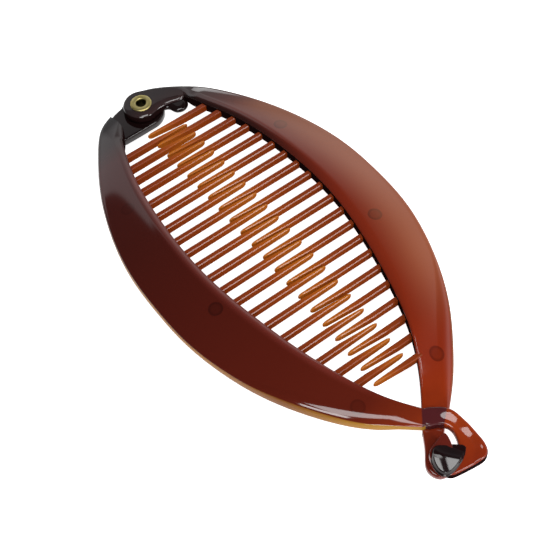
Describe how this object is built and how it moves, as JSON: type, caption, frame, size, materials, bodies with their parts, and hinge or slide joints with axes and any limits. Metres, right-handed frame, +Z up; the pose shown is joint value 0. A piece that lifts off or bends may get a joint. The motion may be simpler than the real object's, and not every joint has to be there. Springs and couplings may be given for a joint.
{
  "type": "banana hair clip",
  "caption": "Bowed banana hair clip: two arms with interleaved comb teeth pivot on an eyelet and hook together at the crossing tails to grip gathered hair.",
  "frame": {"origin": "under the middle of the clip, on the plane that it rests on", "axes": "+Y from the clasp to the hinge, +X to the right arm, +Z up out of the curved face"},
  "size_m": [0.0716, 0.1486, 0.0121],
  "materials": {
    "amber_plastic": "translucent tortoiseshell plastic, polished",
    "dark_amber_plastic": "translucent tortoiseshell plastic, polished",
    "brass": "bright rolled brass",
    "hook_plastic": "thick tortoiseshell plastic, polished, near black"
  },
  "bodies": {
    "right_side": {"right_arm": "amber_plastic", "eyelet": "brass", "clasp_hook": "hook_plastic"},
    "left_side": {"left_arm": "dark_amber_plastic"}
  },
  "joints": [
    {"name": "arm_hinge", "type": "hinge", "parent": "right_side", "child": "left_side", "pos_m": [0, 0.06789, 0.00355], "axis": [0, 0, -1], "range_deg": [0, 70], "deforming": ["clasp_hook"]}
  ]
}
